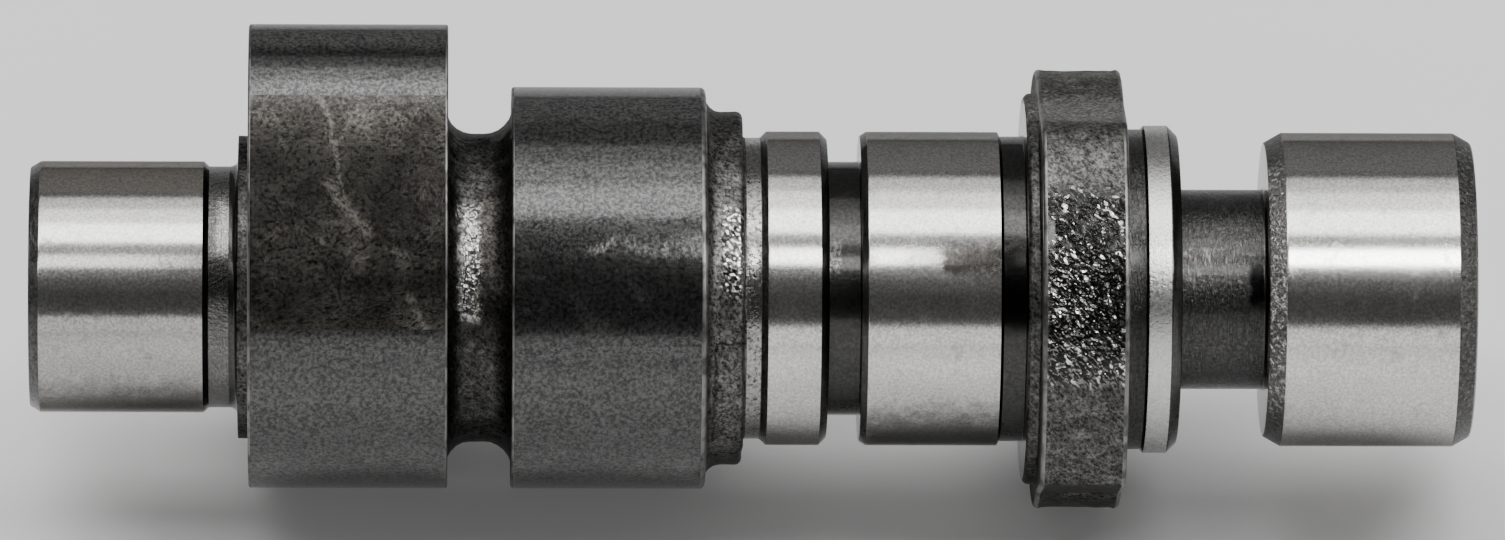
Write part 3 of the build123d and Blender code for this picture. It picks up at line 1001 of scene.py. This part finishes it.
COLLAR_MARKS = (
    (0.2, 1, ((47, -4.4), (49.5, -4.45))),
    (0.26, 0.9, ((47.15, -4.5), (47.3, -7.5), (47.1, -12))),
)
FLANGE_FIELD = (73.1, 80.3, -7.4, 7.9, 0.6)
FLANGE_GREY_LEFT = (73, 76.6, -8.6, 1.6, 1.8)
FLANGE_GREY_FOOT = (73, 81, -9, -4.4, 1.2)
# Painted light on the lug's top and in its hollow at the front
LUG_TOP_PAINTED_LIGHT = (72, 82, 12.5, 18.6, 1)
LUG_HOLLOW_PAINTED_LIGHT = (72, 82, 13.4, 15.1, 0.5)
COLLAR_FIELD = (47.8, 49.3, -0.6, 6.2, 0.5)
COLLAR_FRONT = (46, 50, -15, 14.5, 0.8)
CORE_FIELD = (27.1, 28.6, -2.6, 6.4, 0.6)
CORE_RIGHT = (28.3, 33, -8, 8, 0.8)
# Painted shade on the core between the cams: its left end and its lower half at the front
CORE_LEFT_PAINTED_SHADE = (25, 26.8, -15, 9, 1)
CORE_FRONT_PAINTED_SHADE = (26, 33, -4.6, -1.2, 0.9)
CORE_UNDERSIDE_PAINTED_SHADE = (26, 33, -12, -4.6, 1)


def forged_scale():
    """Black forging scale: dull and mottled, with fine slanting wires of paler scale. Glossy
    hammered fields lie on the flange's front, the core and the heavy collar; the flange's glints
    in slanting points and greys low down, the collar's in close pearls. Painted light brightens
    the lug's top and its hollow at the front, painted shade darkens the core's lower half and its
    left end, and a seam runs across the collar."""
    shader = Shader("forged_scale")
    patch = shader.patch
    bumps = shader.noise(2.1, 1.5, 0.5, shader.place((1, 0.85, 0.85)))
    fine = shader.speckle(3.4, 3, 0.75, 0.36, 0.66)
    patches = shader.speckle(0.7, 5, 0.7, 0.44, 0.64)
    crowd = shader.noise(0.55) - 0.5
    slant = shader.noise(1.5, 3, 0.6, shader.slanted(0.5, 1.5))
    wires = shader.ramp((slant - 0.5).size(), 0.055, 0.0)
    spots = shader.noise(1.9, 0.5, 0.5, shader.slanted(0.8, 1.2)) + crowd * 0.2
    points = shader.ramp(spots, 0.625, 0.69)
    pearls = shader.ramp(shader.noise(3, 0.5, 0.5, shader.slanted(1, 1.2)), 0.55, 0.61)
    seam = 1 - shader.strokes(COLLAR_MARKS) * 0.85
    flange = patch(FLANGE_FIELD)
    grey = patch(FLANGE_GREY_LEFT).larger(patch(FLANGE_GREY_FOOT))
    collar = patch(COLLAR_FIELD)
    core = patch(CORE_FIELD)
    right = patch(CORE_RIGHT)
    # Painted shade on the core's left end and lower half
    shade = patch(CORE_FRONT_PAINTED_SHADE).larger(patch(CORE_LEFT_PAINTED_SHADE))
    shade = shade.larger(patch(CORE_UNDERSIDE_PAINTED_SHADE) * 0.6)
    hammered = flange.larger(collar * 0.4).larger(core * 0.7)
    level = 0.014 + patches * (0.022 + fine * 0.08) + fine * 0.07 + wires * 0.06
    level = level * (1 - hammered * 0.8) * (1 - shade * 0.62)
    level = level + right * fine * 0.006 + patch(COLLAR_FRONT) * fine * 0.05
    # Painted light on the lug's top and in its hollow
    level = level + patch(LUG_TOP_PAINTED_LIGHT) * (0.06 + fine * 0.14)
    level = level + patch(LUG_HOLLOW_PAINTED_LIGHT) * (0.08 + fine * 0.16)
    level = level + flange * wires * (0.01 + fine * 0.04 + grey * 0.22)
    level = level + flange * points * (0.44 + grey * 0.4)
    level = level + collar * (wires * 0.1 + pearls - (1 - pearls) * 0.02)
    level = level + core * (0.1 + fine * 0.55)
    return shader.metal(
        level * seam,
        shader.mix(right, SCALE_TINT, RUSTY_TINT),
        Roughness=0.44 + patches * 0.05 - hammered * 0.32,
        Coat_Weight=0.15 + hammered * 0.4,
        Coat_Roughness=0.14,
        Specular_Tint=DARK_RIM,
        Normal=shader.bump(bumps * (0.10 + hammered * 0.90), 400 * MICRON),
    )


EDGE_DARK = (0.08, 0.08, 0.08)
EDGE_PALE = (0.24, 0.235, 0.23)


def worn_edge():
    """Edges of the cams and the flange, where handling has rubbed the black off in places."""
    shader = Shader("worn_edge")
    rub = shader.speckle(0.9, 3, 0.5, 0.3, 0.6)
    colour = shader.mix(rub, EDGE_DARK, EDGE_PALE)
    return shader.finish(Base_Color=colour, Metallic=1.0, Roughness=0.4)


# ---- the piece and the stage


def add_object(name, data):
    """An object with that data, in the scene."""
    added = bpy.data.objects.new(name, data)
    bpy.context.scene.collection.objects.link(added)
    return added


def add_camshaft():
    """The whole shaft, with its finishes in the order of the material slots."""
    piece = add_object("camshaft_surface", shaft_mesh())
    finishes = (ground_steel, turned_steel, black_cam, forged_scale, worn_edge, rubbed_flank)
    finishes += (satin_steel, ring_steel, mottled_steel, groove_steel, speckled_steel)
    for finish in finishes:
        piece.data.materials.append(finish())
    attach(piece, "root")
    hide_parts(NODE)


# Camera frame: its size in pixels, and the pixel columns of the shaft's left end and of the point
# that the lens stands square to, and the pixel row of the axis
PICTURE_WIDTH = 1505
PICTURE_HEIGHT = 540
MM_PER_PIXEL = 0.0797
LEFT_END_PIXEL = 31
FOOT_PIXEL = 419
AXIS_PIXEL = 288.2

# Camera: its roll in degrees, its distance and sensor width in millimetres, and the nearest and
# farthest distance that it draws, in metres
ROLL = 0.144
CAMERA_DISTANCE = 1275
SENSOR_WIDTH = 36
CLIP_START = 0.05
CLIP_END = 50


def add_camera():
    """A long lens square to the shaft, over a point of the axis left of the frame's middle, and
    turned to look at the middle."""
    left = cad_low[0] / MM
    foot = Vector((left + (FOOT_PIXEL - LEFT_END_PIXEL) * MM_PER_PIXEL, 0, 0))
    tilt = radians(CAMERA_ELEVATION)
    back = Vector((0, -cos(tilt), sin(tilt)))
    up = Vector((0, sin(tilt), cos(tilt)))
    middle_x = left + (PICTURE_WIDTH / 2 - LEFT_END_PIXEL) * MM_PER_PIXEL
    target = Vector((middle_x, 0, 0)) + up * ((AXIS_PIXEL - PICTURE_HEIGHT / 2) * MM_PER_PIXEL)
    eye = foot + back * CAMERA_DISTANCE
    data = bpy.data.cameras.new("camera")
    data.sensor_width = SENSOR_WIDTH
    data.lens = SENSOR_WIDTH * CAMERA_DISTANCE / (PICTURE_WIDTH * MM_PER_PIXEL)
    data.clip_start = CLIP_START
    data.clip_end = CLIP_END
    camera = add_object("camera", data)
    away = (eye - target).normalized()
    right = up.cross(away).normalized()
    level_up = away.cross(right)
    turn = Matrix((right, level_up, away)).transposed().to_4x4()
    turn = turn @ Matrix.Rotation(radians(ROLL), 4, "Z")
    camera.matrix_world = Matrix.Translation(eye * MM) @ turn
    bpy.context.scene.camera = camera


# Lamps along the whole shaft: name, elevation in degrees, distance, length and width in metres, and
# radiance. Cards give no diffuse light, and fills show in no reflection.
SOFTBOXES = (
    ("softbox", 103.5, 0.5, 1, 0.456, 0.9),
    ("softbox_middle", 96.5, 0.49, 1, 0.31, 1),
    ("softbox_front", 89, 0.48, 1, 0.155, 2.3),
)
CARDS = (
    ("bridge", 73, 0.3, 0.9, 0.063, 0.35),
    ("skirt", 50.5, 0.3, 0.9, 0.044, 0.11),
    ("apron", 45, 0.3, 0.9, 0.09, 0.035),
    ("front_card", 4.7, 0.6, 1.2, 0.138, 1),
    ("back_card", 156, 0.7, 1.6, 0.56, 0.11),
)
FILLS = (
    ("table_fill", 140, 0.8, 1.6, 0.3, 4.6),
    ("low_fill", 24, 0.8, 1.6, 0.3, 1.6),
)

# Row of strip lamps: elevation in degrees, distance and width in metres, and for each strip its
# left and right end in metres and its radiance
STRIP_ELEVATION = 61
STRIP_DISTANCE = 0.105
STRIP_WIDTH = 0.02
STRIPS = ((-0.25, 0.0045, 2.3), (0.0478, 0.0672, 7), (0.086, 0.35, 14))

# Brightness of the studio round the stage, for the camera and for everything else
STUDIO_PALE = (1, 1, 1, 1)
STUDIO_DIM = (0.062, 0.062, 0.062, 1)


def add_lamp(name, x, elevation, distance, length, width, radiance):
    """An area lamp that faces the shaft. Elevation is measured over the shaft from the front
    horizon, and a lamp's power is its radiance times pi times its area."""
    data = bpy.data.lights.new(name, "AREA")
    data.shape = "RECTANGLE"
    data.size = length
    data.size_y = width
    data.energy = radiance * pi * length * width
    lamp = add_object(name, data)
    tilt = radians(elevation)
    lamp.location = (x, -distance * cos(tilt), distance * sin(tilt))
    back = Vector((0, -cos(tilt), sin(tilt)))
    lamp.rotation_mode = "QUATERNION"
    lamp.rotation_quaternion = back.to_track_quat("Z", "Y")
    lamp.visible_camera = False
    return lamp


def add_lights():
    """A big softbox overhead and behind, brightest along its front edge, and a broken row of strip
    lamps above the front. Only reflections see the strips and the cards: a bridge between softbox
    and strips, a skirt and an apron under the strips, a low white card in front and a dim one
    behind. Fills from behind and from the front, which no reflection sees, light the table."""
    middle = (cad_low[0] + cad_high[0]) / 2
    for name, *lamp in SOFTBOXES:
        add_lamp(name, middle, *lamp)
    for number, (left, right, radiance) in enumerate(STRIPS, 1):
        size = (right - left, STRIP_WIDTH, radiance)
        centre = (left + right) / 2
        strip = add_lamp(f"strip_{number}", centre, STRIP_ELEVATION, STRIP_DISTANCE, *size)
        strip.visible_diffuse = False
    for name, *lamp in CARDS:
        card = add_lamp(name, middle, *lamp)
        card.visible_diffuse = False
    for name, *lamp in FILLS:
        fill = add_lamp(name, middle, *lamp)
        fill.visible_glossy = False


def add_studio():
    """The studio round the stage: pale to the camera, dim to light and reflections."""
    world = bpy.data.worlds.new("studio")
    world.use_nodes = True
    nodes, links = world.node_tree.nodes, world.node_tree.links
    dim = nodes["Background"]
    dim.inputs["Color"].default_value = STUDIO_DIM
    pale = nodes.new("ShaderNodeBackground")
    pale.inputs["Color"].default_value = STUDIO_PALE
    path = nodes.new("ShaderNodeLightPath")
    mix = nodes.new("ShaderNodeMixShader")
    links.new(path.outputs["Is Camera Ray"], mix.inputs[0])
    links.new(dim.outputs[0], mix.inputs[1])
    links.new(pale.outputs[0], mix.inputs[2])
    links.new(mix.outputs[0], nodes["World Output"].inputs["Surface"])
    bpy.context.scene.world = world


def add_sheet(name, material_name, half, near, far, height, tone, roughness):
    """A flat matt sheet: a rectangle from -half to half along the shaft and from near to far
    across it, at one height."""
    corners = [(-half, near), (half, near), (half, far), (-half, far)]
    mesh = bpy.data.meshes.new(name)
    mesh.from_pydata([(x, y, height) for x, y in corners], [], [(0, 1, 2, 3)])
    finish = Shader(material_name).finish(Base_Color=(tone, tone, tone), Roughness=roughness)
    mesh.materials.append(finish)
    return add_object(name, mesh)


# Table and painted shade sheet, in metres: half length, near and far edge, tone and roughness
TABLE_HALF = 6
TABLE_TONE, TABLE_ROUGHNESS = 0.86, 0.7
FLAG_HALF, FLAG_NEAR, FLAG_FAR = 0.9, 0.045, 1.3
FLAG_LIFT = 0.001
FLAG_TONE, FLAG_ROUGHNESS = 0.36, 0.9


def add_floor():
    """A pale matt table under the shaft."""
    edges = (TABLE_HALF, -TABLE_HALF, TABLE_HALF, cad_low[2])
    table = add_sheet("table", "table_top", *edges, TABLE_TONE, TABLE_ROUGHNESS)


def add_flag():
    """A grey sheet on the table behind the shaft, which only reflections see: painted shade that
    keeps the pale table out of the top edges of the journals and cams."""
    edges = (FLAG_HALF, FLAG_NEAR, FLAG_FAR, cad_low[2] + FLAG_LIFT)
    # Painted shade seen only in reflections
    flag = add_sheet("flag", "painted_shade_sheet", *edges, FLAG_TONE, FLAG_ROUGHNESS)
    for ray in ("camera", "diffuse", "shadow", "transmission", "volume_scatter"):
        setattr(flag, f"visible_{ray}", False)


add_camshaft()
add_camera()
add_lights()
add_studio()
add_floor()
add_flag()
